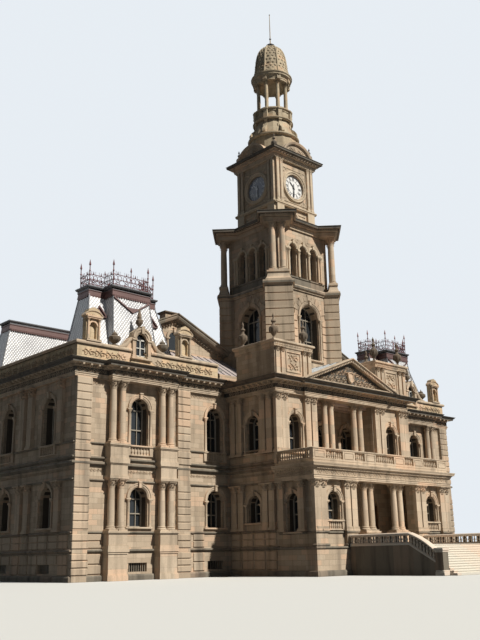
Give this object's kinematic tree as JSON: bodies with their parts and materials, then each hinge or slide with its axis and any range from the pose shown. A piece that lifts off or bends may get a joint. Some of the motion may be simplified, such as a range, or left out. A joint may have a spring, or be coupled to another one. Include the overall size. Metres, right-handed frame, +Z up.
{
  "type": "town hall building",
  "caption": "Sandstone town hall with a columned porch and loggia, two wings with mansard pavilions, front stairs and a tall clock tower with turning hands.",
  "frame": {"origin": "ground level on the middle axis of the building, in the plane of the upper pilasters of the main block", "axes": "+Z up, -Y out of the front, +X to the right of someone who faces the front"},
  "size_m": [25.3, 20.585, 29.84],
  "materials": {
    "sandstone": "weathered",
    "urn_stone": "weathered",
    "floor_stone": "worn",
    "roof_slate": "weathered",
    "roof_lead": "dull",
    "lantern_lead": "dull",
    "cresting_iron": "painted",
    "door_wood": "varnished",
    "window_glass": "smooth",
    "louvre_paint": "painted",
    "dial_glass": "glossy",
    "clock_hand_paint": "satin",
    "pole_paint": "gloss"
  },
  "bodies": {
    "building": {"attic_blocks": "sandstone", "back_wall": "sandstone", "balcony_rails": "sandstone", "basement_floor": "floor_stone", "belfry_columns": "sandstone", "belfry_entablature": "sandstone", "belfry_front_and_back": "sandstone", "belfry_louvres": "louvre_paint", "belfry_sides": "sandstone", "clock_cornice": "sandstone", "clock_dials": "dial_glass", "clock_front_and_back": "sandstone", "clock_sides": "sandstone", "dome": "lantern_lead", "dormers": "sandstone", "entrance_doors": "door_wood", "finial_and_flagpole": "pole_paint", "front_steps": "sandstone", "ground_floor": "floor_stone", "lantern_base": "lantern_lead", "lantern_columns": "lantern_lead", "lantern_cornice": "lantern_lead", "link_roofs": "roof_slate", "loggia_wall": "sandstone", "lower_windows": "window_glass", "main_entablature": "sandstone", "main_front_wall": "sandstone", "mansard_roofs": "roof_slate", "pavilion_columns": "sandstone", "pediment": "sandstone", "pediment_roof": "roof_lead", "porch_base": "sandstone", "porch_entablature": "sandstone", "porch_front_walls": "sandstone", "porch_side_walls": "sandstone", "portico_columns": "sandstone", "roof_cresting": "cresting_iron", "roof_deck": "floor_stone", "roof_urns": "urn_stone", "side_walls": "sandstone", "stair_walls": "sandstone", "tower_corner_piers": "sandstone", "tower_front_and_back": "sandstone", "tower_piers": "sandstone", "tower_sides": "sandstone", "tower_string_course": "sandstone", "tower_windows": "window_glass", "upper_floor": "floor_stone", "upper_windows": "window_glass", "wing_entablature": "sandstone", "wing_front_walls": "sandstone", "wing_parapet": "sandstone"},
    "front_minute_hand": {"front_minute_hand": "clock_hand_paint"},
    "front_hour_hand": {"front_hour_hand": "clock_hand_paint"},
    "left_minute_hand": {"left_minute_hand": "clock_hand_paint"},
    "left_hour_hand": {"left_hour_hand": "clock_hand_paint"},
    "right_minute_hand": {"right_minute_hand": "clock_hand_paint"},
    "right_hour_hand": {"right_hour_hand": "clock_hand_paint"},
    "back_minute_hand": {"back_minute_hand": "clock_hand_paint"},
    "back_hour_hand": {"back_hour_hand": "clock_hand_paint"}
  },
  "joints": [
    {"name": "front_minute_turn", "type": "hinge", "parent": "building", "child": "front_minute_hand", "pos_m": [0, 2.7, 18.85], "axis": [0, 1, 0], "continuous": true},
    {"name": "front_hour_turn", "type": "hinge", "parent": "building", "child": "front_hour_hand", "pos_m": [0, 2.7, 18.85], "axis": [0, 1, 0], "continuous": true},
    {"name": "left_minute_turn", "type": "hinge", "parent": "building", "child": "left_minute_hand", "pos_m": [-1.35, 4.05, 18.85], "axis": [1, 0, 0], "continuous": true},
    {"name": "left_hour_turn", "type": "hinge", "parent": "building", "child": "left_hour_hand", "pos_m": [-1.35, 4.05, 18.85], "axis": [1, 0, 0], "continuous": true},
    {"name": "right_minute_turn", "type": "hinge", "parent": "building", "child": "right_minute_hand", "pos_m": [1.35, 4.05, 18.85], "axis": [-1, 0, 0], "continuous": true},
    {"name": "right_hour_turn", "type": "hinge", "parent": "building", "child": "right_hour_hand", "pos_m": [1.35, 4.05, 18.85], "axis": [-1, 0, 0], "continuous": true},
    {"name": "back_minute_turn", "type": "hinge", "parent": "building", "child": "back_minute_hand", "pos_m": [0, 5.4, 18.85], "axis": [0, -1, 0], "continuous": true},
    {"name": "back_hour_turn", "type": "hinge", "parent": "building", "child": "back_hour_hand", "pos_m": [0, 5.4, 18.85], "axis": [0, -1, 0], "continuous": true}
  ],
  "couplings": [
    {"joint": "front_hour_turn", "follows": "front_minute_turn", "ratio": 0.083333},
    {"joint": "left_minute_turn", "follows": "front_minute_turn", "ratio": 1},
    {"joint": "left_hour_turn", "follows": "front_minute_turn", "ratio": 0.083333},
    {"joint": "right_minute_turn", "follows": "front_minute_turn", "ratio": 1},
    {"joint": "right_hour_turn", "follows": "front_minute_turn", "ratio": 0.083333},
    {"joint": "back_minute_turn", "follows": "front_minute_turn", "ratio": 1},
    {"joint": "back_hour_turn", "follows": "front_minute_turn", "ratio": 0.083333}
  ]
}
